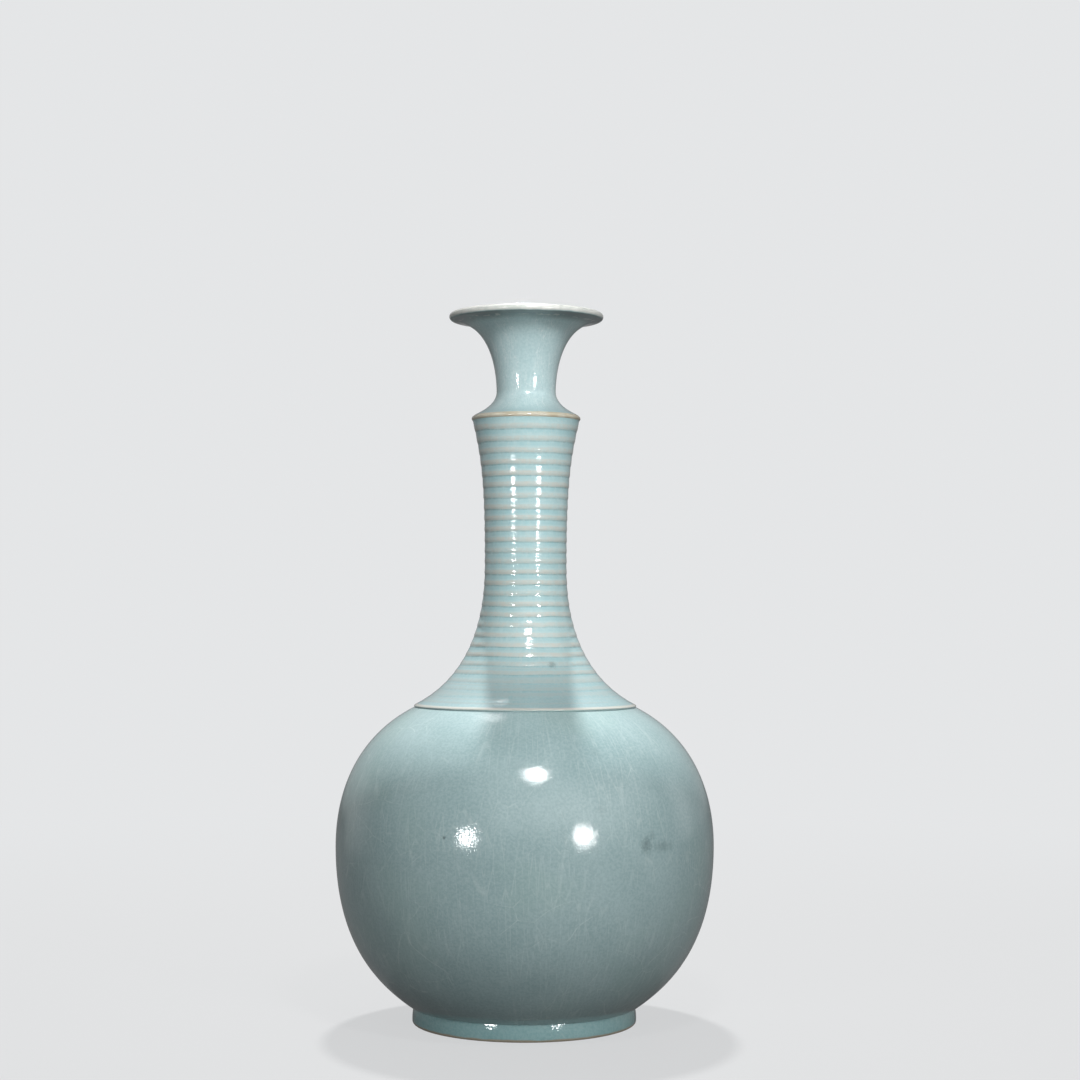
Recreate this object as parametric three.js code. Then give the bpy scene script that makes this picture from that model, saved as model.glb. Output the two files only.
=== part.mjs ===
// A long-neck bottle vase of glazed stoneware.
// Five thrown sections are luted together with slip, and two clay strings hide the upper seams.
// Lengths are in millimetres, +Z is up, and the origin is the middle of the face that it stands on.
import * as THREE from 'three';

// Heights of the sections, from the rest face up
const footHeight = 8.2;
const lowerBodyHeight = 76.5;
const upperBodyHeight = 65.5;
const neckHeight = 137.8;
const mouthHeight = 52;

// Outer radii, and how far the body stands out past the foot ring where they meet
const footRadius = 53.5;
const footTaper = 0.6;
const underbellyLedge = 1.5;
const bellyRadius = 90.5;
const shoulderRadius = 53.1;
const waistRadius = 19.7;
const collarRadius = 25.8;
const stemRadius = 14.3;
const lipRadius = 37.3;

// Where the neck and the mouth are narrowest, above the seam under each
const waistRise = 69.2;
const stemRise = 14;

// Walls
const bodyWall = 5;
const neckWall = 4;
const mouthWall = 3.2;
const lipThickness = 3.4;
const floorThickness = 7;
const footWall = 8.4;
const footRim = 3.2;
const footEdge = 1;

// Seams: the width of each luted face, the height of its lap and the slip in it
const shoulderFace = 12.9;
const collarFace = 7.8;
const lapHeight = 2.5;
const slipThickness = 0.5;
const tongueShare = 0.52;

// Clay strings over the collar and shoulder seams
const collarStringSeat = 0.7;
const collarStringHeight = 2.5;
const collarStringBulge = 1.3;
const shoulderStringSeat = 1.1;
const shoulderStringHeight = 1.6;
const shoulderStringBulge = 0.9;

// Ribs thrown round the neck: each swells out slowly to its crest and drops back to a groove under it
const ribCount = 28;
const ribMargin = 4.3;
const ribRelief = 0.32;
const ribDrop = 1.4;

// Handles of the outline's curves, as shares of each curve's own reach and rise
const lowerBellyShares = { lift: 0.595, reach: 0.53, rise: 0.847 };
const upperBellyShares = { lift: 0.285, reach: 0.148, rise: 0.753 };
const neckFlareShares = { lift: 0.187, reach: 0, rise: 0.746 };
const neckTopShares = { lift: 0.603, reach: 0.4, rise: 0.772 };
const mouthFlareShares = { lift: 0.105, reach: 0.025, rise: 0.952 };
const mouthSkirtShares = { lift: 0.63, reach: 0.97, rise: 0.95 };

// The rolled lip starts a little under its outermost place; both are shares of a half turn
const lipStartShare = -0.46;
const lipStepShare = 0.16;

// How evenly the ribs are spaced: 1 is even, and less puts them wider apart under the collar
const ribSpreadShare = 0.955;

// Steps round the vase and along its curves
const turnSteps = 40;
const bellySteps = 9;
const neckBoreSteps = 18;
const flareSteps = 9;
const skirtSteps = 5;
const lipSteps = 7;
const stringSteps = 4;

// Heights of the seams and of the lip's top
const footSeam = footHeight;
const bellySeam = footSeam + lowerBodyHeight;
const shoulderSeam = bellySeam + upperBodyHeight;
const collarSeam = shoulderSeam + neckHeight;
const lipTop = collarSeam + mouthHeight;

const glaze = { color: 0xa9c9cb, roughness: 0.18, metalness: 0 };
const ribbedGlaze = { color: 0xb4ced0, roughness: 0.2, metalness: 0 };
const rimClay = { color: 0xcfc7b0, roughness: 0.6, metalness: 0 };
const driedSlip = { color: 0xb5a98f, roughness: 0.9, metalness: 0 };

// A mesh turned from an outline that runs up the outside and down the inside
function turned(name, outline, finish) {
  const geometry = new THREE.LatheGeometry(outline, turnSteps);
  geometry.rotateX(Math.PI / 2);
  const mesh = new THREE.Mesh(geometry, new THREE.MeshStandardMaterial(finish));
  mesh.name = name;
  return mesh;
}

function closed(outline) {
  return [...outline, outline[0].clone()];
}

function point(radius, height) {
  return new THREE.Vector2(radius, height);
}

// A curve that leaves its start straight up or down and swings out to its end
function swing(start, end, shares) {
  const reach = end.x - start.x;
  const rise = end.y - start.y;
  const lift = point(start.x, start.y + rise * shares.lift);
  const lead = point(start.x + reach * shares.reach, start.y + rise * shares.rise);
  return new THREE.CubicBezierCurve(start, lift, lead, end);
}

// A place on a curve, moved to the left of the curve's way by an inset
function beside(curve, share, inset) {
  const place = curve.getPointAt(share);
  const way = curve.getTangentAt(share);
  return point(place.x - way.y * inset, place.y + way.x * inset);
}

// Places along a curve at even steps, each with the same inset
function along(curve, steps, inset = 0) {
  const points = [];
  for (let step = 0; step <= steps; step += 1) {
    points.push(beside(curve, step / steps, inset));
  }
  return points;
}

// A lapped seam: the tongue on one section, the socket on the other, and the slip between them.
// The tongue points up with turn 1 and down with turn -1.
function lap(seam, innerRadius, faceWidth, turn) {
  const stepRadius = innerRadius + faceWidth * tongueShare;
  const socketRadius = stepRadius + slipThickness;
  const tongueEnd = seam + turn * lapHeight;
  const socketEnd = tongueEnd + turn * slipThickness;
  const tongue = [point(stepRadius, seam), point(stepRadius, tongueEnd), point(innerRadius, tongueEnd)];
  const socket = [point(socketRadius, seam), point(socketRadius, socketEnd), point(innerRadius, socketEnd)];
  return { tongue, socket };
}

function lute(name, joint, turn) {
  const ring = [...joint.tongue, ...[...joint.socket].reverse()];
  const outline = turn > 0 ? [...ring].reverse() : ring;
  return turned(name, closed(outline), driedSlip);
}

// A string rests on the lower section's edge and wraps the upper section's rim
function string(name, seam, rimRadius, seat, height, bulge, finish) {
  const low = point(rimRadius + seat, seam);
  const high = point(rimRadius, seam + height);
  const belly = point(rimRadius + seat + bulge, seam + height / 2);
  const outside = new THREE.QuadraticBezierCurve(low, belly, high).getPoints(stringSteps);
  return turned(name, closed([point(rimRadius, seam), ...outside]), finish);
}

const footTopRadius = footRadius - footTaper;
const footBore = footTopRadius - footWall;
const footJoint = lap(footSeam, footBore, footWall, -1);
const bellyJoint = lap(bellySeam, bellyRadius - bodyWall, bodyWall, 1);
const shoulderJoint = lap(shoulderSeam, shoulderRadius - shoulderFace, shoulderFace, 1);
const collarJoint = lap(collarSeam, collarRadius - collarFace, collarFace, -1);

function footRing() {
  const rimBore = footRadius - footEdge - footRim;
  const outline = [
    point(rimBore, 0),
    point(footRadius - footEdge, 0),
    point(footRadius, footEdge),
    point(footTopRadius, footSeam),
    ...footJoint.socket,
    point(rimBore - footEdge, footEdge),
  ];
  return turned('foot_ring', closed(outline), rimClay);
}

function lowerBody() {
  const wide = point(bellyRadius, bellySeam);
  const under = point(footTopRadius + underbellyLedge, footSeam);
  const curve = swing(wide, under, lowerBellyShares);
  const outside = along(curve, bellySteps).reverse();
  const inside = along(curve, bellySteps, -bodyWall).slice(1);
  const [footStep, footStepEnd] = footJoint.tongue;
  const floor = footStepEnd.y + floorThickness;
  const outline = [
    point(0, footStepEnd.y),
    footStepEnd,
    footStep,
    ...outside,
    ...bellyJoint.tongue,
    ...inside.filter((place) => place.y > floor),
    point(footBore, floor),
    point(0, floor),
  ];
  return turned('lower_body', outline, glaze);
}

function upperBody() {
  const wide = point(bellyRadius, bellySeam);
  const shoulder = point(shoulderRadius, shoulderSeam);
  const curve = swing(wide, shoulder, upperBellyShares);
  const socketEnd = bellyJoint.socket[2].y;
  const inside = along(curve, bellySteps, bodyWall).filter((place) => place.y > socketEnd + slipThickness);
  const outline = [
    ...[...bellyJoint.socket].reverse(),
    ...along(curve, bellySteps),
    ...shoulderJoint.tongue,
    point(shoulderRadius - shoulderFace, shoulderSeam - lapHeight),
    ...inside.reverse(),
  ];
  return turned('upper_body', closed(outline), glaze);
}

// The neck's outside, with a crest and a groove for each rib, placed down its own length
function ribbed(curve) {
  const length = curve.getLength();
  const points = [];
  for (let rib = 0; rib < ribCount; rib += 1) {
    const share = (rib / (ribCount - 1)) ** ribSpreadShare;
    const crest = ribMargin + (length - 2 * ribMargin) * share;
    const groove = crest + ribDrop;
    points.push(beside(curve, crest / length, ribRelief / 2));
    points.push(beside(curve, groove / length, -ribRelief / 2));
  }
  return points;
}

function neck() {
  const waist = point(waistRadius, shoulderSeam + waistRise);
  const collar = point(collarRadius, collarSeam);
  const hem = point(shoulderRadius - shoulderStringSeat, shoulderSeam + shoulderStringHeight);
  const top = swing(waist, collar, neckTopShares);
  const flare = swing(waist, hem, neckFlareShares);
  const outer = new THREE.CurvePath();
  outer.add(new THREE.CubicBezierCurve(collar, top.v2, top.v1, waist));
  outer.add(flare);
  const shoulderSocketEnd = shoulderJoint.socket[2].y;
  const collarSocketEnd = collarJoint.socket[2].y;
  const inside = along(outer, neckBoreSteps, -neckWall).filter(
    (place) => place.y > shoulderSocketEnd + slipThickness && place.y < collarSocketEnd - slipThickness,
  );
  const outline = [
    ...[...shoulderJoint.socket].reverse(),
    point(hem.x, shoulderSeam),
    hem,
    ...ribbed(outer).reverse(),
    collar,
    ...collarJoint.socket,
    ...inside,
  ];
  return turned('neck', closed(outline), ribbedGlaze);
}

function mouth() {
  const beadRadius = lipThickness / 2;
  const bead = point(lipRadius - beadRadius, lipTop - beadRadius);
  const stem = point(stemRadius, collarSeam + stemRise);
  const rim = point(collarRadius - collarStringSeat, collarSeam + collarStringHeight);
  const lip = [];
  for (let step = 0; step <= lipSteps; step += 1) {
    const angle = Math.PI * (lipStartShare + step * lipStepShare);
    lip.push(point(bead.x + beadRadius * Math.cos(angle), bead.y + beadRadius * Math.sin(angle)));
  }
  const skirt = swing(stem, rim, mouthSkirtShares);
  const flare = swing(stem, lip[0], mouthFlareShares);
  const bore = point(stemRadius - mouthWall, stem.y);
  const throat = swing(bore, lip[lipSteps], mouthFlareShares);
  const collarBore = collarJoint.tongue[2];
  const funnel = swing(bore, collarBore, mouthSkirtShares);
  const outline = [
    ...[...collarJoint.tongue].reverse(),
    point(rim.x, collarSeam),
    ...along(skirt, skirtSteps).reverse(),
    ...along(flare, flareSteps).slice(1, flareSteps),
    ...lip,
    ...along(throat, flareSteps).reverse().slice(1),
    ...along(funnel, skirtSteps).slice(1, skirtSteps),
  ];
  return turned('mouth', closed(outline), glaze);
}

const vase = new THREE.Group();
vase.add(
  footRing(),
  lute('foot_lute', footJoint, -1),
  lowerBody(),
  lute('belly_lute', bellyJoint, 1),
  upperBody(),
  lute('shoulder_lute', shoulderJoint, 1),
  string(
    'shoulder_string',
    shoulderSeam,
    shoulderRadius - shoulderStringSeat,
    shoulderStringSeat,
    shoulderStringHeight,
    shoulderStringBulge,
    glaze,
  ),
  neck(),
  lute('mouth_lute', collarJoint, -1),
  string(
    'collar_string',
    collarSeam,
    collarRadius - collarStringSeat,
    collarStringSeat,
    collarStringHeight,
    collarStringBulge,
    rimClay,
  ),
  mouth(),
);

export default vase;
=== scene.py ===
import math

import bpy
import numpy as np
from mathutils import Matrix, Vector
from mathutils.geometry import interpolate_bezier


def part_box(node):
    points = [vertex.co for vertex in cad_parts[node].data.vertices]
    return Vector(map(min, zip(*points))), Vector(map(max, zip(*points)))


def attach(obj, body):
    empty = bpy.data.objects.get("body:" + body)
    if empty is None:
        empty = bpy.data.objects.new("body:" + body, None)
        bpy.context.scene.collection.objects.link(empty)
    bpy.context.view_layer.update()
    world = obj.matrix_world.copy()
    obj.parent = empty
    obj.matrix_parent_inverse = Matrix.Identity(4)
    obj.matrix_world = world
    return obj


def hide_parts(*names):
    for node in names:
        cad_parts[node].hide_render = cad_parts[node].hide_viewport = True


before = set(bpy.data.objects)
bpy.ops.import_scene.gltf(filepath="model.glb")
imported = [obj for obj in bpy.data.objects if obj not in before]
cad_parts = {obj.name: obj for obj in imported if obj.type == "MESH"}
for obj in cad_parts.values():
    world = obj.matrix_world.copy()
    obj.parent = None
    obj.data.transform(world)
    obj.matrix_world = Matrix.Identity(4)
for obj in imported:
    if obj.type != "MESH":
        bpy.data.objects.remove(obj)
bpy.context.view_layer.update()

# Camera
# It stands a metre in front of the vase, level with the top of the body, and looks slightly up.
# The vase stands a little left of the middle of the picture, as in the photograph.
camera_place = (0, -1.0352, 0.1962)
camera_turn = (91.895, -0.16, -0.387)
camera_lens = 71.53

bpy.ops.object.camera_add(location=camera_place, rotation=[math.radians(angle) for angle in camera_turn])
camera = bpy.context.object
camera.data.lens = camera_lens
bpy.context.scene.camera = camera
bpy.context.scene.view_settings.view_transform = "Standard"

# Studio
# A pale floor runs out to a pale room with soft windows of light in it, and a dim panel stands at the left.
# Two round lamps flank the camera, and a small one hangs close over the front of the vase.
# One lamp behind and above casts the neck's shadow down the shoulder.
pale = (0.78, 0.79, 0.8, 1)
nothing = (0, 0, 0, 1)
floor_bounce = (0.025, 0.025, 0.025, 1)
floor_glow = 0.76
floor_paint = (0.09, 0.09, 0.09, 1)
floor_radius = 12
floor_sides = 96
floor_near = 0.3
floor_far = 1.05
room_fill = 0.03
room_shine = 0.16
window_sockets = ("Turn", "Half Width", "Rise", "Half Height", "Soft", "Strength")
# Each window has a value for each of those sockets, in degrees but for the last, and its share in the light
room_windows = {
    "right_strip": (113, 9, 6, 18, 6, 0.5, 0.4),
    "front": (10, 32, 27, 12, 12, 1.0, 1.0),
    "front_right": (60, 28, 28, 16, 12, 0.8, 1.0),
    "spark": (-162, 2.0, 61, 2.0, 1.5, 18, 0),
    "back": (180, 60, 25, 40, 20, 0.12, 5.5),
}
# Each lamp has its place, the place that it faces, its width, its brightness, and its height if it is a panel
lamps = {
    "key_left": ((-0.732, -1.111, 0.262), (0, 0, 0.15), 0.165, 48),
    "key_right": ((0.675, -0.996, 0.268), (0, 0, 0.15), 0.16, 53),
    "high_lamp": ((0.048, -0.333, 0.472), (0, 0, 0.2), 0.07, 70),
    "left_panel": ((-0.62, 0.34, 0.17), (0, 0, 0.12), 0.34, 0.15, 0.33),
    "back_lamp": ((-0.055, 0.9, 1.9), (0, 0, 0.15), 0.165, 920),
}


def put(tree, kind, values=None, **settings):
    """Adds a node with its settings. Each value goes to an input, and a socket is linked to it."""
    made = tree.nodes.new(kind)
    for name, value in settings.items():
        setattr(made, name, value)
    for name, value in (values or {}).items():
        if isinstance(value, bpy.types.NodeSocket):
            tree.links.new(value, made.inputs[name])
        else:
            made.inputs[name].default_value = value
    return made


def math_of(tree, operation, first, second=0.0, clamp=False):
    return put(tree, "ShaderNodeMath", {0: first, 1: second}, operation=operation, use_clamp=clamp).outputs[0]


def vector_of(tree, operation, first, second):
    return put(tree, "ShaderNodeVectorMath", {0: first, 1: second}, operation=operation).outputs["Vector"]


def length_of(tree, vector):
    return put(tree, "ShaderNodeVectorMath", {0: vector}, operation="LENGTH").outputs["Value"]


def ramp_between(tree, value, start, end, low=0.0, high=1.0):
    """A soft step from low to high as the value goes from start to end."""
    values = {0: value, 1: start, 2: end, 3: low, 4: high}
    return put(tree, "ShaderNodeMapRange", values, interpolation_type="SMOOTHSTEP").outputs[0]


def mixed(tree, factor, first, second):
    values = {0: factor, 6: first, 7: second}
    return put(tree, "ShaderNodeMix", values, data_type="RGBA").outputs[2]


def seen_ray(tree):
    """1 where the ray comes from the camera or through something clear, and less off something shiny."""
    path = put(tree, "ShaderNodeLightPath").outputs
    off_shiny = math_of(tree, "MULTIPLY", path["Is Glossy Ray"], room_shine)
    straight = math_of(tree, "MAXIMUM", path["Is Camera Ray"], path["Is Transmission Ray"])
    return math_of(tree, "MAXIMUM", straight, off_shiny)


def new_group(name, inputs, outputs):
    """An empty node group, with its input and output sockets."""
    tree = bpy.data.node_groups.new(name, "ShaderNodeTree")
    for label, kind, value in inputs:
        socket = tree.interface.new_socket(label, in_out="INPUT", socket_type=kind)
        if value is not None:
            socket.default_value = value
    for label, kind in outputs:
        tree.interface.new_socket(label, in_out="OUTPUT", socket_type=kind)
    return tree, tree.nodes.new("NodeGroupInput").outputs, tree.nodes.new("NodeGroupOutput").inputs


window, window_in, window_out = new_group(
    "window",
    [
        ("Azimuth", "NodeSocketFloat", 0.0),
        ("Elevation", "NodeSocketFloat", 0.0),
        ("Turn", "NodeSocketFloat", 0.0),
        ("Half Width", "NodeSocketFloat", 10.0),
        ("Rise", "NodeSocketFloat", 0.0),
        ("Half Height", "NodeSocketFloat", 10.0),
        ("Soft", "NodeSocketFloat", 5.0),
        ("Strength", "NodeSocketFloat", 1.0),
    ],
    [("Glow", "NodeSocketFloat")],
)
full_turn = 360.0
sides = []
for angle, middle, half in (("Azimuth", "Turn", "Half Width"), ("Elevation", "Rise", "Half Height")):
    off = math_of(window, "ABSOLUTE", math_of(window, "SUBTRACT", window_in[angle], window_in[middle]))
    off = math_of(window, "MINIMUM", off, math_of(window, "SUBTRACT", full_turn, off))
    outer = math_of(window, "ADD", window_in[half], window_in["Soft"])
    inner = math_of(window, "SUBTRACT", window_in[half], window_in["Soft"])
    sides.append(ramp_between(window, off, inner, outer, 1.0, 0.0))
pane_shape = math_of(window, "MULTIPLY", sides[0], sides[1])
window.links.new(math_of(window, "MULTIPLY", pane_shape, window_in["Strength"]), window_out["Glow"])

world = bpy.data.worlds.new("room")
world.use_nodes = True
bpy.context.scene.world = world
room = world.node_tree
room.nodes.clear()
look = put(room, "ShaderNodeTexCoord").outputs["Generated"]
look_x, look_y, look_z = put(room, "ShaderNodeSeparateXYZ", {0: look}).outputs
look_ahead = math_of(room, "MULTIPLY", look_y, -1.0)
azimuth = math_of(room, "DEGREES", math_of(room, "ARCTAN2", look_x, look_ahead))
elevation = math_of(room, "DEGREES", math_of(room, "ARCSINE", look_z))
glossy = put(room, "ShaderNodeLightPath").outputs["Is Glossy Ray"]
brightness = room_fill
for label, (*values, spill) in room_windows.items():
    sockets = {"Azimuth": azimuth, "Elevation": elevation, **dict(zip(window_sockets, values))}
    pane = put(room, "ShaderNodeGroup", sockets, node_tree=window, label=label)
    share = ramp_between(room, glossy, 0.0, 1.0, spill, 1.0)
    brightness = math_of(room, "ADD", brightness, math_of(room, "MULTIPLY", pane.outputs["Glow"], share))
lit = put(room, "ShaderNodeBackground", {"Color": (1, 1, 1, 1), "Strength": brightness})
wall = put(room, "ShaderNodeBackground", {"Color": pale, "Strength": 1.0})
room_mix = put(room, "ShaderNodeMixShader", {0: seen_ray(room), 1: lit.outputs[0], 2: wall.outputs[0]})
put(room, "ShaderNodeOutputWorld", {0: room_mix.outputs[0]})

bpy.ops.object.select_all(action="DESELECT")
bpy.ops.mesh.primitive_circle_add(vertices=floor_sides, radius=floor_radius, fill_type="NGON")
floor = bpy.context.object
floor.name = "floor"
floor_finish = bpy.data.materials.new("floor_paper")
floor_finish.use_nodes = True
paper = floor_finish.node_tree
paper.nodes.clear()
seen = seen_ray(paper)
out_from_vase = length_of(paper, put(paper, "ShaderNodeTexCoord").outputs["Object"])
open_floor = ramp_between(paper, out_from_vase, floor_near, floor_far)
paint = mixed(paper, seen, floor_bounce, mixed(paper, open_floor, floor_paint, nothing))
bright_floor = ramp_between(paper, out_from_vase, floor_near, floor_far, floor_glow, 1.0)
glow = math_of(paper, "MULTIPLY", seen, bright_floor)
matt = put(paper, "ShaderNodeBsdfDiffuse", {"Color": paint})
light = put(paper, "ShaderNodeEmission", {"Color": pale, "Strength": glow})
both = put(paper, "ShaderNodeAddShader", {0: matt.outputs[0], 1: light.outputs[0]})
put(paper, "ShaderNodeOutputMaterial", {0: both.outputs[0]})
floor.data.materials.append(floor_finish)


def hang_lamp(name, place, faces, width, radiance, height=None):
    """A lamp behind a diffuser that faces the vase: round, or a panel where it has a height."""
    lamp = bpy.data.lights.new(name, "AREA")
    lamp.shape = "RECTANGLE" if height else "DISK"
    lamp.size = width
    lamp.size_y = height or width
    area = width * height if height else math.pi * width * width / 4
    lamp.energy = radiance * math.pi * area
    holder = bpy.data.objects.new(name, lamp)
    holder.visible_camera = False
    holder.location = place
    holder.rotation_euler = (Vector(place) - Vector(faces)).to_track_quat("Z", "Y").to_euler()
    bpy.context.scene.collection.objects.link(holder)


for name, values in lamps.items():
    hang_lamp(name, *values)

# Foot ring
# The low ring that the vase stands on is trimmed from the same stoneware and luted under the body.
# It is glazed down to a narrow bare line where the glaze was wiped off the edge before firing.
foot_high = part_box("foot_ring")[1]
foot_top = foot_high.z
foot_radius = foot_high.x
foot_taper = 0.0006
foot_wall = 0.0084
foot_rim = 0.0032
foot_edge = 0.001
foot_edge_share = 0.6
foot_swell = 0.00015
foot_swell_share = 0.45
seam_round = 0.0004
rim_steps = 5
edge_steps = 7
swell_steps = 10
seam_steps = 4
lap_height = 0.0025
slip_gap = 0.0005
tongue_share = 0.52
turn_steps = 192
weld_distance = 2e-6

glaze_deep = (0.302, 0.434, 0.446, 1)
glaze_pale = (0.412, 0.552, 0.562, 1)
glaze_green = (0.335, 0.49, 0.46, 1)
craze_colour = (0.56, 0.68, 0.67, 1)
bare_clay = (0.4, 0.35, 0.27, 1)
foot_deep = (0.26, 0.47, 0.485, 1)
foot_pale = (0.37, 0.58, 0.59, 1)
bare_top = 0.0013
bare_soft = 0.0007
bare_waver = 0.0009
bare_waver_scale = 140.0
# From glaze to bare clay: where the step starts and ends, and the roughness on each side of it
bare_roughness = (0.2, 0.8, 0.11, 0.6)
glaze_roughness = 0.34
glaze_level = 0.15
coat_roughness = 0.04
coat_ior = 1.6
body_pits = 6e-5
body_ripple = 2e-5
crack_sockets = ("Cells", "Height Share", "Width", "Wander", "Patch Scale", "Patch Cover")
# Each layer of cracks has its strength, then a value for each of those sockets
foot_cracks = ((0.3, 170.0, 1.0, 0.03, 0.002, 40.0, 0.5),)


def at(radius, height):
    """A place on an outline: so far from the vase's axis, and so far above the floor."""
    return Vector((radius, 0, height))


def swing(start, end, lift, reach, rise, steps):
    """A side that leaves its start straight up or down and swings out to its end."""
    across, up = end.x - start.x, end.z - start.z
    first = start + Vector((0, 0, up * lift))
    second = start + Vector((across * reach, 0, up * rise))
    return interpolate_bezier(start, first, second, end, steps)


def rounded(start, corner, end, steps):
    """A small curve from start to end that bends round a corner."""
    share = 2 / 3
    return interpolate_bezier(start, start.lerp(corner, share), end.lerp(corner, share), end, steps)


def lap(seam, inner, face, turn):
    """A lapped seam: the tongue on one section and the socket for it on the other, with room for slip."""
    step = inner + face * tongue_share
    tongue_end = seam + turn * lap_height
    tongue = [at(step, seam), at(step, tongue_end), at(inner, tongue_end)]
    socket_end = tongue_end + turn * slip_gap
    socket = [at(step + slip_gap, seam), at(step + slip_gap, socket_end), at(inner, socket_end)]
    return tongue, socket


def thrown(name, outline, smooth_angle=40):
    """Draws an outline point by point and turns it round the vase's axis, as on the wheel."""
    bpy.ops.object.select_all(action="DESELECT")
    bpy.ops.mesh.primitive_plane_add(size=0.001, location=outline[0])
    piece = bpy.context.object
    piece.name = name
    bpy.ops.object.transform_apply(location=True, rotation=True, scale=True)
    bpy.ops.object.mode_set(mode="EDIT")
    bpy.ops.mesh.select_all(action="SELECT")
    bpy.ops.mesh.merge(type="CENTER")
    for place, after in zip(outline, outline[1:]):
        bpy.ops.mesh.extrude_region_move(TRANSFORM_OT_translate={"value": after - place})
    bpy.ops.mesh.select_all(action="SELECT")
    bpy.ops.mesh.spin(steps=turn_steps, angle=2 * math.pi, center=(0, 0, 0), axis=(0, 0, 1))
    bpy.ops.mesh.select_all(action="SELECT")
    bpy.ops.mesh.remove_doubles(threshold=weld_distance)
    bpy.ops.mesh.normals_make_consistent(inside=False)
    bpy.ops.object.mode_set(mode="OBJECT")
    bpy.ops.object.shade_smooth_by_angle(angle=math.radians(smooth_angle))
    return piece


def seat(piece, node, finish):
    """Gives a piece its finish and puts it in the place of its CAD node."""
    piece.data.materials.clear()
    piece.data.materials.append(finish)
    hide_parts(node)
    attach(piece, "root")


def noise(tree, place, scale, detail=2.0, roughness=0.5):
    values = {"Vector": place, "Scale": scale, "Detail": detail, "Roughness": roughness}
    return put(tree, "ShaderNodeTexNoise", values).outputs["Fac"]


def scaled(tree, vector, size):
    return put(tree, "ShaderNodeVectorMath", {0: vector, "Scale": size}, operation="SCALE").outputs["Vector"]


# Places unrolled round the vase, so that a pattern keeps its size from the neck to the belly
unrolled, unrolled_in, unrolled_out = new_group(
    "unrolled",
    [("Place", "NodeSocketVector", None), ("Radius", "NodeSocketFloat", 0.07)],
    [("Vector", "NodeSocketVector")],
)
flat = vector_of(unrolled, "MULTIPLY", unrolled_in["Place"], (1, 1, 0))
upright = vector_of(unrolled, "MULTIPLY", unrolled_in["Place"], (0, 0, 1))
facing = put(unrolled, "ShaderNodeVectorMath", {0: flat}, operation="NORMALIZE").outputs["Vector"]
ringed = scaled(unrolled, facing, unrolled_in["Radius"])
unrolled.links.new(vector_of(unrolled, "ADD", ringed, upright), unrolled_out["Vector"])

# Fine cracks in the glaze: the edges of wandering cells, which show more in some patches than in others
crazing, crazing_in, crazing_out = new_group(
    "crazing",
    [
        ("Vector", "NodeSocketVector", None),
        ("Cells", "NodeSocketFloat", 200.0),
        ("Height Share", "NodeSocketFloat", 1.0),
        ("Width", "NodeSocketFloat", 0.03),
        ("Wander", "NodeSocketFloat", 0.002),
        ("Patch Scale", "NodeSocketFloat", 40.0),
        ("Patch Cover", "NodeSocketFloat", 0.5),
    ],
    [("Lines", "NodeSocketFloat")],
)
wander_scale = 42.0
patch_soft = 0.14
break_scale = 260.0
break_range = (0.36, 0.6, 0.25, 1.0)
wander_values = {"Vector": crazing_in["Vector"], "Scale": wander_scale, "Detail": 1.0}
drift = put(crazing, "ShaderNodeTexNoise", wander_values).outputs["Color"]
centred = vector_of(crazing, "SUBTRACT", drift, (0.5, 0.5, 0.5))
bent = vector_of(crazing, "ADD", crazing_in["Vector"], scaled(crazing, centred, crazing_in["Wander"]))
squeeze = put(crazing, "ShaderNodeCombineXYZ", {0: 1.0, 1: 1.0, 2: crazing_in["Height Share"]}).outputs[0]
cells = {"Vector": vector_of(crazing, "MULTIPLY", bent, squeeze), "Scale": crazing_in["Cells"]}
edge = put(crazing, "ShaderNodeTexVoronoi", cells, feature="DISTANCE_TO_EDGE").outputs["Distance"]
line = ramp_between(crazing, edge, 0.0, crazing_in["Width"], 1.0, 0.0)
patch = noise(crazing, crazing_in["Vector"], crazing_in["Patch Scale"])
patch_end = math_of(crazing, "ADD", crazing_in["Patch Cover"], patch_soft)
shown = ramp_between(crazing, patch, crazing_in["Patch Cover"], patch_end)
broken = ramp_between(crazing, noise(crazing, crazing_in["Vector"], break_scale), *break_range)
lines = math_of(crazing, "MULTIPLY", math_of(crazing, "MULTIPLY", line, shown), broken)
crazing.links.new(lines, crazing_out["Lines"])

# Glaze that pooled thicker in some places and thinner in others, with fine bubbles in it
pooling, pooling_in, pooling_out = new_group(
    "pooling",
    [
        ("Place", "NodeSocketVector", None),
        ("Deep", "NodeSocketColor", glaze_deep),
        ("Pale", "NodeSocketColor", glaze_pale),
        ("Green", "NodeSocketColor", glaze_green),
        ("Depth", "NodeSocketFloat", 0.5),
    ],
    [("Color", "NodeSocketColor")],
)
# Each layer has the scale, detail and roughness of its noise, where its step starts and ends, and its share
pool_layers = (
    (13.0, 2.0, 0.5, 0.3, 0.7, 0.4),
    (55.0, 3.0, 0.6, 0.3, 0.7, 0.22),
    (850.0, 2.0, 0.5, 0.32, 0.68, 0.5),
)
green_scale = 22.0
green_range = (0.52, 0.68, 0.0, 0.25)
paleness = 1.0
for scale, detail, roughness, start, end, share in pool_layers:
    grain = noise(pooling, pooling_in["Place"], scale, detail, roughness)
    grain = ramp_between(pooling, grain, start, end, -0.5, 0.5)
    paleness = math_of(pooling, "ADD", paleness, math_of(pooling, "MULTIPLY", grain, share))
paleness = math_of(pooling, "SUBTRACT", paleness, pooling_in["Depth"], clamp=True)
tone = mixed(pooling, paleness, pooling_in["Deep"], pooling_in["Pale"])
greener = ramp_between(pooling, noise(pooling, pooling_in["Place"], green_scale), *green_range)
pooling.links.new(mixed(pooling, greener, tone, pooling_in["Green"]), pooling_out["Color"])

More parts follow.
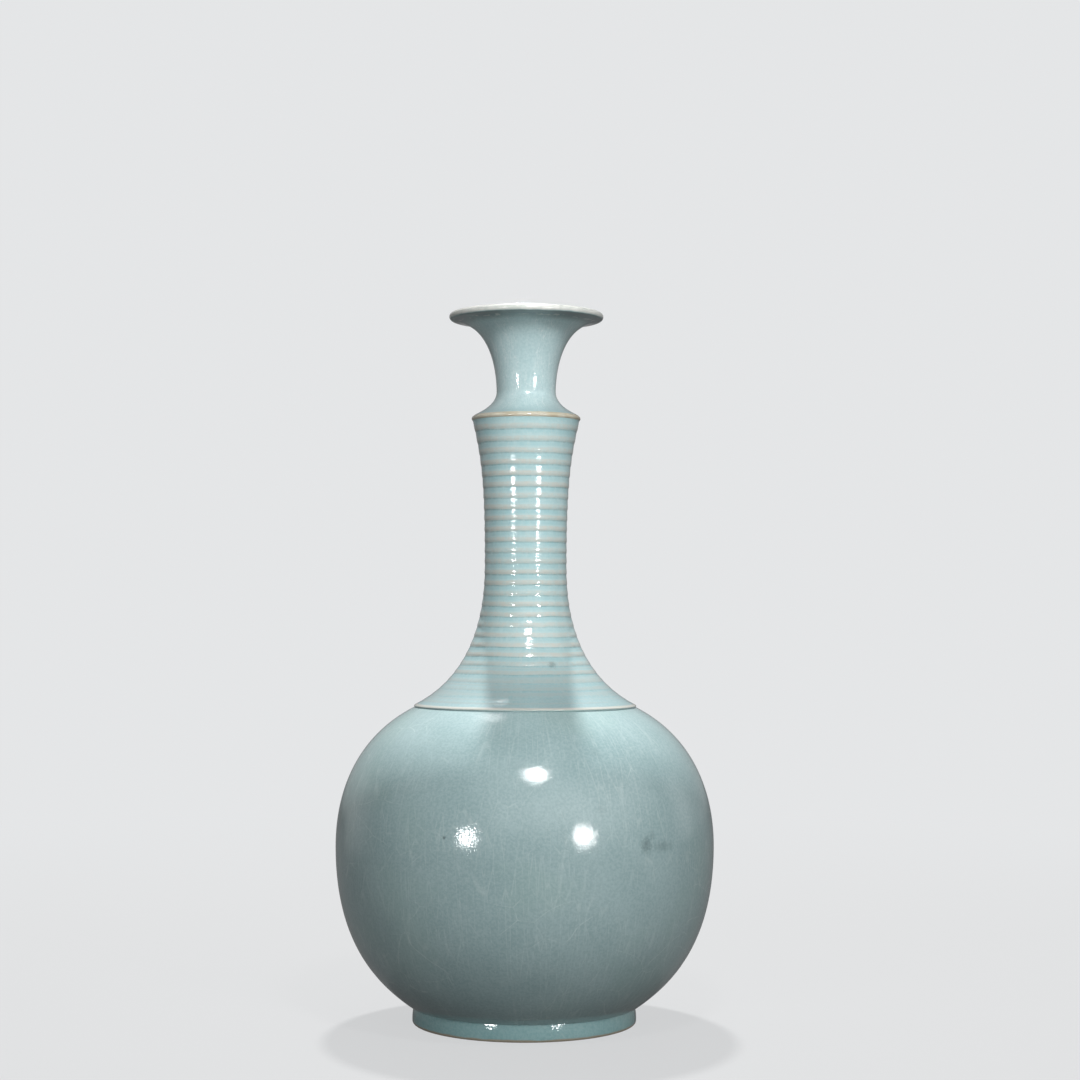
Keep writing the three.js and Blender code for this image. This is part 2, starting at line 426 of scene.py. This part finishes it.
# The skin of the glaze: pits under a millimetre across, on a slow ripple
skin, skin_in, skin_out = new_group(
    "skin",
    [
        ("Place", "NodeSocketVector", None),
        ("Pits", "NodeSocketFloat", body_pits),
        ("Ripple", "NodeSocketFloat", body_ripple),
    ],
    [("Height", "NodeSocketFloat")],
)
pit_scale = 1300.0
ripple_scale = 90.0
pits = math_of(skin, "MULTIPLY", noise(skin, skin_in["Place"], pit_scale, 1.0), skin_in["Pits"])
ripple = math_of(skin, "MULTIPLY", noise(skin, skin_in["Place"], ripple_scale, 1.0), skin_in["Ripple"])
skin.links.new(math_of(skin, "ADD", pits, ripple), skin_out["Height"])


def glazed(name, deep, pale_tone, green, pits=body_pits, ripple=body_ripple):
    """A glazed finish: the pooled colour and the skin. Returns the material, its nodes and its sockets."""
    finish = bpy.data.materials.new(name)
    finish.use_nodes = True
    tree = finish.node_tree
    tree.nodes.clear()
    place = put(tree, "ShaderNodeTexCoord").outputs["Object"]
    around = put(tree, "ShaderNodeGroup", {"Place": place}, node_tree=unrolled).outputs["Vector"]
    pool_values = {"Place": place, "Deep": deep, "Pale": pale_tone, "Green": green}
    colour = put(tree, "ShaderNodeGroup", pool_values, node_tree=pooling).outputs["Color"]
    skin_values = {"Place": place, "Pits": pits, "Ripple": ripple}
    height = put(tree, "ShaderNodeGroup", skin_values, node_tree=skin).outputs["Height"]
    bump = put(tree, "ShaderNodeBump", {"Height": height, "Distance": 1.0, "Strength": 1.0}).outputs[0]
    coat = {"Coat Weight": 1.0, "Coat Roughness": coat_roughness, "Coat IOR": coat_ior, "Coat Normal": bump}
    values = {"Normal": bump, "Roughness": glaze_roughness, "Specular IOR Level": glaze_level, **coat}
    shader = put(tree, "ShaderNodeBsdfPrincipled", values)
    put(tree, "ShaderNodeOutputMaterial", {0: shader.outputs[0]})
    return finish, tree, shader, place, around, colour


def cracked(tree, around, colour, line_colour, layers, cover=None):
    """Lays layers of fine cracks over a colour, only where the cover is if there is one."""
    for strength, *values in layers:
        sockets = {"Vector": around, **dict(zip(crack_sockets, values))}
        lines = put(tree, "ShaderNodeGroup", sockets, node_tree=crazing).outputs["Lines"]
        share = strength if cover is None else math_of(tree, "MULTIPLY", cover, strength)
        colour = mixed(tree, math_of(tree, "MULTIPLY", lines, share), colour, line_colour)
    return colour


def wavering(tree, place, scale, size):
    """A slow waver about zero, up to half its size each way."""
    return math_of(tree, "MULTIPLY", math_of(tree, "SUBTRACT", noise(tree, place, scale), 0.5), size)


def height_of(tree, place):
    return put(tree, "ShaderNodeSeparateXYZ", {0: place}).outputs["Z"]


foot_top_radius = foot_radius - foot_taper
foot_bore = foot_top_radius - foot_wall
foot_tongue, foot_socket = lap(foot_top, foot_bore, foot_wall, -1)
rim_out = foot_radius - foot_edge
rim_bore = rim_out - foot_rim
rim_inside = at(rim_bore - foot_edge, foot_edge)
rim_bend = at(rim_bore - foot_edge * foot_edge_share, 0)
foot_side = at(foot_radius, foot_edge)
foot_bulge = at(foot_radius + foot_swell, foot_top * foot_swell_share)
foot_under_seam = at(foot_top_radius, foot_top - seam_round)
foot_corner = at(foot_top_radius, foot_top)
foot_shelf = at(foot_top_radius - seam_round, foot_top)
foot_outline = [
    *rounded(rim_inside, rim_bend, at(rim_bore, 0), rim_steps),
    *rounded(at(rim_out, 0), at(foot_radius, 0), foot_side, edge_steps),
    *rounded(foot_side, foot_bulge, foot_under_seam, swell_steps)[1:],
    *rounded(foot_under_seam, foot_corner, foot_shelf, seam_steps)[1:],
    *foot_socket,
    rim_inside,
]
foot_finish, tree, shader, place, around, colour = glazed("foot_glaze", foot_deep, foot_pale, glaze_green)
colour = cracked(tree, around, colour, craze_colour, foot_cracks)
waver = math_of(tree, "MULTIPLY", noise(tree, place, bare_waver_scale), bare_waver)
glaze_end = math_of(tree, "ADD", height_of(tree, place), waver)
bare = ramp_between(tree, glaze_end, bare_top, bare_top + bare_soft, 1.0, 0.0)
tree.links.new(mixed(tree, bare, colour, bare_clay), shader.inputs["Base Color"])
tree.links.new(ramp_between(tree, bare, *bare_roughness), shader.inputs["Roughness"])
seat(thrown("foot_ring_glazed", foot_outline), "foot_ring", foot_finish)

# Slip in the foot seam
# Liquid clay luted the foot ring to the body, and it fired to a thin matt ring between the two.
slip_colour = (0.42, 0.35, 0.25, 1)
slip_dark = (0.3, 0.24, 0.16, 1)
slip_roughness = 0.9
grit_noise = (900.0, 4.0, 0.65)
grit_size = 0.0001

slip_finish = bpy.data.materials.new("dried_slip")
slip_finish.use_nodes = True
tree = slip_finish.node_tree
tree.nodes.clear()
grit = noise(tree, put(tree, "ShaderNodeTexCoord").outputs["Object"], *grit_noise)
grit_height = math_of(tree, "MULTIPLY", grit, grit_size)
slip_bump = put(tree, "ShaderNodeBump", {"Height": grit_height, "Distance": 1.0}).outputs[0]
slip_values = {"Base Color": mixed(tree, grit, slip_dark, slip_colour), "Roughness": slip_roughness}
shader = put(tree, "ShaderNodeBsdfPrincipled", {**slip_values, "Normal": slip_bump})
put(tree, "ShaderNodeOutputMaterial", {0: shader.outputs[0]})


def lute(name, node, tongue, socket):
    ring = [*tongue, *reversed(socket), tongue[0]]
    seat(thrown(name, ring), node, slip_finish)


lute("foot_slip", "foot_lute", foot_tongue, foot_socket)

# Lower half of the body
# A thick bowl thrown upside down and trimmed, with the floor of the vase in it.
# The glaze runs over it in one coat with the upper half, so the seam at the belly doesn't show.
belly_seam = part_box("upper_body")[0].z
belly_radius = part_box("lower_body")[1].x
body_wall = 0.005
floor_thickness = 0.007
underbelly_ledge = 0.0015
underbelly_round = 0.0007
underbelly_steps = 6
seam_row = 0.00005
body_rows = 84
lower_shares = (0.595, 0.53, 0.847)
base_ring_shares = (0.25, 0.5, 0.75)

smudge_colour = (0.085, 0.13, 0.135, 1)
base_soft = 0.0006
side_cracks = (
    (0.36, 330.0, 0.08, 0.055, 0.0008, 24.0, 0.36),
    (0.3, 150.0, 0.35, 0.03, 0.003, 40.0, 0.46),
    (0.7, 52.0, 1.3, 0.014, 0.012, 26.0, 0.47),
)
base_cracks = ((0.4, 140.0, 1.0, 0.03, 0.003, 40.0, 0.4),)
spot_noise = (520.0, 3.0, 0.7)
spot_raggedness = 1.6
# Each smudge under the glaze has its place, radius and strength, and how much it is pulled in along each axis
smudges = (
    ((0.0546, -0.0719, 0.0917), 0.0044, 0.5, (1, 1, 0.8)),
    ((0.0575, -0.0694, 0.0957), 0.003, 0.25, (1, 1, 1)),
    ((0.0622, -0.0655, 0.0906), 0.009, 0.32, (1, 1, 2.4)),
    ((-0.0357, -0.0825, 0.0959), 0.0011, 0.9, (1, 1, 1)),
    ((0.0342, -0.0805, 0.1081), 0.004, 0.1, (1, 1, 1)),
    ((0.0319, -0.0682, 0.1325), 0.004, 0.12, (1, 1, 1)),
)


def inset(points, wall):
    """The same side moved by a wall's thickness, to the right of its way."""
    moved = []
    for before, place, after in zip([points[0], *points], points, [*points[1:], points[-1]]):
        way = (after - before).normalized()
        moved.append(place + Vector((way.z, 0, -way.x)) * wall)
    return moved


def smudged(tree, place, colour, centre, radius, strength, stretch=(1, 1, 1)):
    """Darkens a colour in a soft-edged uneven spot."""
    pulled = vector_of(tree, "MULTIPLY", vector_of(tree, "SUBTRACT", place, centre), stretch)
    uneven = math_of(tree, "SUBTRACT", noise(tree, place, *spot_noise), 0.5)
    uneven = math_of(tree, "MULTIPLY", uneven, radius * spot_raggedness)
    away = math_of(tree, "ADD", length_of(tree, pulled), uneven)
    spot = ramp_between(tree, away, 0.0, radius, 1.0, 0.0)
    return mixed(tree, math_of(tree, "MULTIPLY", spot, strength), colour, smudge_colour)


base_under = foot_top - lap_height
base_inside = base_under + floor_thickness
lower_end = at(foot_top_radius + underbelly_ledge, foot_top)
lower_side = swing(at(belly_radius, belly_seam), lower_end, *lower_shares, body_rows)
lower_inside = [p for p in inset(lower_side, body_wall) if p.z > base_inside]
belly_tongue, belly_socket = lap(belly_seam, belly_radius - body_wall, body_wall, 1)
under_edge = lower_side[-1]
under_corner = at(under_edge.x - underbelly_round, foot_top)
lower_outline = [
    at(0, base_under),
    *[at(foot_bore * share, base_under) for share in base_ring_shares],
    at(foot_tongue[0].x, base_under),
    foot_tongue[0],
    under_corner,
    *rounded(under_corner, under_edge, lower_side[-2], underbelly_steps)[1:-1],
    *reversed(lower_side[1:-1]),
    at(belly_radius, belly_seam - seam_row),
    at(belly_radius, belly_seam),
    *belly_tongue,
    *lower_inside[1:],
    at(foot_bore, base_inside),
    *[at(foot_bore * share, base_inside) for share in reversed(base_ring_shares)],
    at(0, base_inside),
]

body_finish, tree, shader, place, around, colour = glazed("body_glaze", glaze_deep, glaze_pale, glaze_green)
side_cover = ramp_between(tree, height_of(tree, place), foot_top - base_soft, foot_top)
base_cover = math_of(tree, "SUBTRACT", 1.0, side_cover)
colour = cracked(tree, around, colour, craze_colour, side_cracks, side_cover)
colour = cracked(tree, place, colour, craze_colour, base_cracks, base_cover)
for smudge in smudges:
    colour = smudged(tree, place, colour, *smudge)
tree.links.new(colour, shader.inputs["Base Color"])
seat(thrown("body_bowl", lower_outline), "lower_body", body_finish)

# Slip in the belly seam
# The two halves of the body were scored and luted rim to rim while leather-hard.
lute("belly_slip", "belly_lute", belly_tongue, belly_socket)

# Upper half of the body
# The second bowl, turned over on the first, with a wide hole left for the neck.
# Its glaze is the same coat as on the lower half.
shoulder_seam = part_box("neck")[0].z
shoulder_radius = 0.0531
shoulder_face = 0.0129
upper_shares = (0.285, 0.148, 0.753)

shoulder_edge = at(shoulder_radius, shoulder_seam)
hole_radius = shoulder_radius - shoulder_face
upper_side = swing(at(belly_radius, belly_seam), shoulder_edge, *upper_shares, body_rows)
upper_inside = [p for p in inset(upper_side, -body_wall) if p.z > belly_socket[-1].z + slip_gap]
shoulder_tongue, shoulder_socket = lap(shoulder_seam, hole_radius, shoulder_face, 1)
upper_outline = [
    *reversed(belly_socket),
    at(belly_radius, belly_seam),
    at(belly_radius, belly_seam + seam_row),
    *upper_side[1:],
    *shoulder_tongue,
    at(hole_radius, shoulder_seam - lap_height),
    *[p for p in reversed(upper_inside) if p.x > hole_radius],
    belly_socket[-1],
]
seat(thrown("body_dome", upper_outline), "upper_body", body_finish)

# Slip in the shoulder seam
# It joins the flared foot of the neck to the flat edge round the hole in the body.
lute("shoulder_slip", "shoulder_lute", shoulder_tongue, shoulder_socket)

# Shoulder string
# A thin string of clay pressed over the shoulder seam.
# The glaze drew back from its edge and left a cream line.
string_seat = 0.0011
string_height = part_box("shoulder_string")[1].z - shoulder_seam
string_bulge = 0.0009
string_steps = 13
cream = (0.56, 0.575, 0.53, 1)
cream_start = 0.0002
cream_full = 0.0008


def string_outline(seam, inner, seat_width, height, bulge):
    low, high = at(inner + seat_width, seam), at(inner, seam + height)
    outside = rounded(low, at(inner + seat_width + bulge, seam + height / 2), high, string_steps)
    return [at(inner, seam), *outside, at(inner, seam)]


hem_radius = shoulder_radius - string_seat
string_finish, tree, shader, place, around, colour = glazed(
    "string_glaze", glaze_deep, glaze_pale, glaze_green
)
thin = ramp_between(tree, height_of(tree, place), shoulder_seam + cream_start, shoulder_seam + cream_full)
tree.links.new(mixed(tree, thin, colour, cream), shader.inputs["Base Color"])
shoulder_ring = string_outline(shoulder_seam, hem_radius, string_seat, string_height, string_bulge)
seat(thrown("shoulder_bead", shoulder_ring), "shoulder_string", string_finish)

# Neck
# A tall waisted tube that flares to sit on the shoulder, thrown with fine ribs left by a fingertip.
# The glaze ran thin and buff on each crest, and pooled blue in the groove under it; a painted shadow line
# lies just under each crest.
collar_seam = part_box("neck")[1].z
neck_wall = 0.004
neck_wall_skip = 6
waist_radius = 0.0197
waist_height = shoulder_seam + 0.0692
collar_radius = 0.0258
collar_face = 0.0078
collar_clear = 0.0035
neck_top_shares = (0.603, 0.4, 0.772)
neck_top_rows = 200
neck_flare_shares = (0.187, 0, 0.746)
neck_flare_rows = 240
rib_count = 28
rib_margin = 0.0043
rib_relief = 0.0002
flare_relief = 0.35
flare_ribs = (18, 25)
rib_drop = 0.27
rib_swell = 0.06
rib_spread = 0.955
rib_phases = (0.0, 0.07, 0.14, 0.2, 0.27, 0.34, 0.45, 0.58, 0.71, 0.83, 0.93)
first_rib_shares = (0.15, 0.35, 0.55, 0.75, 0.9)
last_row_clear = 0.0006

crest_buff = (0.62, 0.65, 0.6, 1)
# A dark painted shadow line under each crest, where the drop is in shade
groove_shadow = (0.31, 0.49, 0.51, 1)
rib_blue = (0.4, 0.64, 0.67, 1)
rib_bright = (0.51, 0.7, 0.71, 1)
neck_deep = (0.42, 0.645, 0.66, 1)
neck_pale = (0.58, 0.76, 0.77, 1)
neck_craze = (0.62, 0.7, 0.68, 1)
flare_shade = (0.63, 0.66, 0.675, 1)
fine_line = (0.6, 0.68, 0.655, 1)
neck_pits = 5e-5
neck_ripple = 8e-6
# The colour on a rib, from one crest down to the next, with a painted shadow line just under the crest
rib_tones = (
    (0.0, crest_buff),
    (0.15, crest_buff),
    (0.23, groove_shadow),
    (0.27, groove_shadow),
    (0.34, rib_blue),
    (0.55, rib_blue),
    (0.72, rib_bright),
    (0.84, crest_buff),
)
rib_waver_scale = 60.0
rib_waver = 0.22
# Each of the next ranges says where a step starts and ends, and its value before and after it
band_squeeze = (0.06, 0.06, 1)
band_scale = 150.0
band_range = (0.36, 0.64, -0.22, 0.12)
band_fade = (22.5, 26.0, 0.76, 0.15)
streak_noise = (420.0, 3.0)
streak_range = (0.35, 0.65, -0.2, 0.12)
line_squeeze = (0.008, 0.008, 1)
line_scale = 1100.0
line_range = (0.5, 0.6)
line_growth = (18.0, 24.0, 0.1, 0.55)
shade_growth = (19.0, 26.5)
neck_cracks = (
    (0.34, 330.0, 0.8, 0.06, 0.002, 40.0, 0.36),
    (0.3, 210.0, 0.2, 0.05, 0.002, 40.0, 0.42),
)
neck_smudge = ((0.0125, -0.0286, 0.1709), 0.003, 0.4)

hem = at(hem_radius, shoulder_seam + string_height)
waist = at(waist_radius, waist_height)
neck_top_side = swing(waist, at(collar_radius, collar_seam), *neck_top_shares, neck_top_rows)
neck_flare_side = swing(waist, hem, *neck_flare_shares, neck_flare_rows)
neck_side = [*reversed(neck_top_side), *neck_flare_side[1:]]
neck_ways = [moved - place for moved, place in zip(inset(neck_side, 1.0), neck_side)]
neck_steps = [(after - place).length for place, after in zip(neck_side, neck_side[1:])]
neck_lengths = np.concatenate([[0], np.cumsum(neck_steps)])
neck_length = neck_lengths[-1]


def on_neck(length, out):
    """A place that far down the neck's side from the collar, moved outwards."""
    radius = np.interp(length, neck_lengths, [p.x for p in neck_side])
    height = np.interp(length, neck_lengths, [p.z for p in neck_side])
    way = Vector([float(np.interp(length, neck_lengths, [w[axis] for w in neck_ways])) for axis in range(3)])
    return at(float(radius), float(height)) - way.normalized() * out


def rib_out(rib, phase):
    """How far a rib stands out: it drops quickly under its crest and swells slowly to the next one."""
    low_down = min(max((rib + phase - flare_ribs[0]) / (flare_ribs[1] - flare_ribs[0]), 0), 1)
    relief = rib_relief * (1 - low_down * (1 - flare_relief))
    if phase < rib_drop:
        return math.cos(math.pi * phase / rib_drop) / 2 * relief
    share = (phase - rib_drop) / (1 - rib_drop)
    return (share - 0.5 - math.sin(2 * math.pi * share) * rib_swell) * relief


ribbed_length = neck_length - 2 * rib_margin
crests = [rib_margin + ribbed_length * (rib / (rib_count - 1)) ** rib_spread for rib in range(rib_count)]
crests.append(crests[-1] + crests[-1] - crests[-2])
collar_share = crests[0] / (crests[1] - crests[0])
rib_rows = []
for share in first_rib_shares:
    rib = -collar_share * (1 - share)
    rib_rows.append((crests[0] * share, rib, rib_out(0, rib % 1)))
for rib in range(rib_count):
    for phase in rib_phases:
        length = crests[rib] + (crests[rib + 1] - crests[rib]) * phase
        if length < neck_length - last_row_clear:
            rib_rows.append((length, rib + phase, rib_out(rib, phase)))
neck_rows = [on_neck(length, out) for length, rib, out in rib_rows]
neck_inside_low = shoulder_socket[-1].z + slip_gap
neck_inside_high = collar_seam - collar_clear
neck_wall_side = inset(neck_side, neck_wall)[::neck_wall_skip]
neck_inside = [p for p in neck_wall_side if neck_inside_low < p.z < neck_inside_high]
collar_tongue, collar_socket = lap(collar_seam, collar_radius - collar_face, collar_face, -1)
neck_outline = [
    *reversed(shoulder_socket),
    at(hem_radius, shoulder_seam),
    hem,
    *reversed(neck_rows),
    at(collar_radius, collar_seam),
    *collar_socket,
    *neck_inside,
    shoulder_socket[-1],
]
neck_piece = thrown("ribbed_neck", neck_outline)
# Each vertex gets the count of ribs above it, which the glaze reads
rib_at = neck_piece.data.attributes.new("rib", "FLOAT", "POINT")
heights = np.array([vertex.co.z for vertex in neck_piece.data.vertices])
row_heights = [row.z for row in reversed(neck_rows)]
row_ribs = [rib for length, rib, out in reversed(rib_rows)]
rib_at.data.foreach_set("value", np.interp(heights, row_heights, row_ribs).astype(np.float32))

neck_finish, tree, shader, place, around, colour = glazed(
    "ribbed_glaze", neck_deep, neck_pale, neck_pale, neck_pits, neck_ripple
)
rib = put(tree, "ShaderNodeAttribute", attribute_name="rib").outputs["Fac"]
wavered = math_of(tree, "ADD", rib, wavering(tree, place, rib_waver_scale, rib_waver))
phase = math_of(tree, "FRACT", math_of(tree, "ADD", wavered, 1.0))
bands = put(tree, "ShaderNodeValToRGB", {0: phase})
stops = bands.color_ramp
stops.interpolation = "EASE"
for position, shade in rib_tones:
    stop = stops.elements[0] if position == 0.0 else stops.elements.new(position)
    stop.position, stop.color = position, shade
stops.elements[-1].color = crest_buff
banded = noise(tree, vector_of(tree, "MULTIPLY", place, band_squeeze), band_scale)
uneven = ramp_between(tree, banded, *band_range)
band_share = math_of(tree, "ADD", ramp_between(tree, rib, *band_fade), uneven)
streaks = ramp_between(tree, noise(tree, place, *streak_noise), *streak_range)
colour = mixed(tree, math_of(tree, "ADD", band_share, streaks), colour, bands.outputs["Color"])
colour = cracked(tree, around, colour, neck_craze, neck_cracks)
fine = noise(tree, vector_of(tree, "MULTIPLY", place, line_squeeze), line_scale)
fine = ramp_between(tree, fine, *line_range)
fine_share = math_of(tree, "MULTIPLY", fine, ramp_between(tree, rib, *line_growth))
colour = mixed(tree, fine_share, colour, fine_line)
thick = {0: ramp_between(tree, rib, *shade_growth), 6: colour, 7: flare_shade}
colour = put(tree, "ShaderNodeMix", thick, data_type="RGBA", blend_type="MULTIPLY").outputs[2]
colour = smudged(tree, place, colour, *neck_smudge)
tree.links.new(colour, shader.inputs["Base Color"])
seat(neck_piece, "neck", neck_finish)

# Slip in the collar seam
# It fixes the separately thrown mouth in the top of the neck.
lute("collar_slip", "mouth_lute", collar_tongue, collar_socket)

# Collar string
# A rounded string of clay over the collar seam.
# The glaze on it is thin, so the buff clay shows through.
collar_string_seat = 0.0007
collar_string_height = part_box("collar_string")[1].z - collar_seam
collar_string_bulge = 0.0013
buff = (0.57, 0.49, 0.35, 1)
buff_pale = (0.67, 0.62, 0.5, 1)
buff_noise = (150.0, 3.0)
buff_range = (0.35, 0.65)
collar_glaze_share = 0.06

collar_rim = collar_radius - collar_string_seat
collar_ring = string_outline(
    collar_seam, collar_rim, collar_string_seat, collar_string_height, collar_string_bulge
)
collar_finish, tree, shader, place, around, colour = glazed(
    "collar_glaze", glaze_deep, glaze_pale, glaze_green
)
tone = mixed(tree, ramp_between(tree, noise(tree, place, *buff_noise), *buff_range), buff, buff_pale)
tree.links.new(mixed(tree, collar_glaze_share, tone, colour), shader.inputs["Base Color"])
seat(thrown("collar_bead", collar_ring), "collar_string", collar_finish)

# Mouth
# A trumpet thrown on its own, with a skirt that spreads onto the collar and a rolled lip.
# The glaze slid off the lip and left it white, and it lies thick in the turn under the lip, where the dark
# colour also holds painted shade.
lip_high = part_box("mouth")[1]
lip_top = lip_high.z
lip_radius = lip_high.x
lip_thickness = 0.0034
lip_start = -0.46 * math.pi
lip_end = 0.66 * math.pi
lip_steps = 22
stem_radius = 0.0143
stem_height = collar_seam + 0.014
mouth_wall = 0.0032
skirt_shares = (0.63, 0.97, 0.95)
skirt_rows = 30
funnel_rows = 24
trumpet_shares = (0.105, 0.025, 0.952)
trumpet_rows = 64
throat_rows = 48
outside_reach = 0.0004

lip_white = (0.72, 0.73, 0.69, 1)
lip_grey = (0.61, 0.64, 0.6, 1)
mouth_deep = (0.405, 0.58, 0.6, 1)
mouth_pale = (0.55, 0.7, 0.71, 1)
skirt_blue = (0.3, 0.5, 0.53, 1)
mouth_craze = (0.84, 0.87, 0.86, 1)
fleck_colour = (0.5, 0.56, 0.54, 1)
under_lip_pool_and_shade = (0.13, 0.2, 0.2, 1)
mouth_pits = 4.5e-5
mouth_cracks = (
    (0.45, 300.0, 0.7, 0.06, 0.003, 40.0, 0.42),
    (0.5, 110.0, 0.5, 0.022, 0.005, 40.0, 0.4),
)
# Where the blue on the skirt starts to fade and ends above the collar, and its share before and after
skirt_fade = (0.001, 0.0075, 0.55, 0.0)
lip_waver_scale = 120.0
lip_waver = 0.0008
# How far under the top of the lip each of these bands starts and ends, at its lower and its upper edge
pool_shade_low = (0.0065, 0.0035)
pool_shade_high = (0.0032, 0.0026)
pool_shade_share = 0.88
fleck_low = (0.0046, 0.0042)
fleck_high = (0.0041, 0.0037)
fleck_scale = 300.0
fleck_range = (0.5, 0.6, 0.0, 0.8)
white_low = (0.0031, 0.0024)
white_inner = (0.0048, 0.0036)
lip_noise = (260.0, 3.0)
lip_range = (0.4, 0.7)

bead_radius = lip_thickness / 2
bead = at(lip_radius - bead_radius, lip_top - bead_radius)
lip = []
for step in range(lip_steps + 1):
    angle = lip_start + (lip_end - lip_start) * step / lip_steps
    lip.append(bead + Vector((math.cos(angle), 0, math.sin(angle))) * bead_radius)
stem = at(stem_radius, stem_height)
collar_top = at(collar_rim, collar_seam + collar_string_height)
bore = at(stem_radius - mouth_wall, stem_height)
skirt = swing(stem, collar_top, *skirt_shares, skirt_rows)
trumpet = swing(stem, lip[0], *trumpet_shares, trumpet_rows)
throat = swing(bore, lip[-1], *trumpet_shares, throat_rows)
funnel = swing(bore, collar_tongue[-1], *skirt_shares, funnel_rows)
mouth_outline = [
    *reversed(collar_tongue),
    at(collar_rim, collar_seam),
    *reversed(skirt),
    *trumpet[1:-1],
    *lip,
    *list(reversed(throat))[1:],
    *funnel[1:],
]
mouth_piece = thrown("trumpet_mouth", mouth_outline)
# Each vertex on the outside is marked, because the thick glaze and the painted shade under the lip lie only
# there
outer_heights = [p.z for p in trumpet]
outer_radii = [p.x for p in trumpet]
outside_at = mouth_piece.data.attributes.new("outside", "FLOAT", "POINT")
outside_values = []
for vertex in mouth_piece.data.vertices:
    outer_radius = np.interp(vertex.co.z, outer_heights, outer_radii)
    outside_values.append(float(math.hypot(vertex.co.x, vertex.co.y) > outer_radius - outside_reach))
outside_at.data.foreach_set("value", outside_values)


def above(tree, height, band):
    """1 above a soft edge that starts and ends so far under the top of the lip."""
    return ramp_between(tree, height, lip_top - band[0], lip_top - band[1])


def below(tree, height, band):
    return ramp_between(tree, height, lip_top - band[0], lip_top - band[1], 1.0, 0.0)


mouth_finish, tree, shader, place, around, colour = glazed(
    "mouth_glaze", mouth_deep, mouth_pale, glaze_pale, mouth_pits
)
colour = cracked(tree, around, colour, mouth_craze, mouth_cracks)
height = height_of(tree, place)
skirt_start, skirt_end, *skirt_values = skirt_fade
low_skirt = ramp_between(tree, height, collar_seam + skirt_start, collar_seam + skirt_end, *skirt_values)
colour = mixed(tree, low_skirt, colour, skirt_blue)
edge_waver = wavering(tree, place, lip_waver_scale, lip_waver)
drawn = math_of(tree, "ADD", height, edge_waver)
outside = put(tree, "ShaderNodeAttribute", attribute_name="outside").outputs["Fac"]
# A dark band under the lip: partly thick pooled glaze, partly painted shade under the lip's overhang
pool_and_shade = math_of(tree, "MULTIPLY", above(tree, drawn, pool_shade_low), below(tree, drawn, pool_shade_high))
pool_and_shade = math_of(tree, "MULTIPLY", pool_and_shade, outside)
colour = mixed(tree, math_of(tree, "MULTIPLY", pool_and_shade, pool_shade_share), colour, under_lip_pool_and_shade)
fleck = math_of(tree, "MULTIPLY", above(tree, drawn, fleck_low), below(tree, drawn, fleck_high))
fleck = math_of(tree, "MULTIPLY", fleck, outside)
scattered = ramp_between(tree, noise(tree, place, fleck_scale), *fleck_range)
colour = mixed(tree, math_of(tree, "MULTIPLY", fleck, scattered), colour, fleck_colour)
reach = math_of(tree, "ADD", length_of(tree, vector_of(tree, "MULTIPLY", place, (1, 1, 0))), edge_waver)
on_rim = ramp_between(tree, reach, lip_radius - white_inner[0], lip_radius - white_inner[1])
white = math_of(tree, "MULTIPLY", on_rim, above(tree, drawn, white_low))
lip_tone = mixed(tree, ramp_between(tree, noise(tree, place, *lip_noise), *lip_range), lip_white, lip_grey)
tree.links.new(mixed(tree, white, colour, lip_tone), shader.inputs["Base Color"])
seat(mouth_piece, "mouth", mouth_finish)
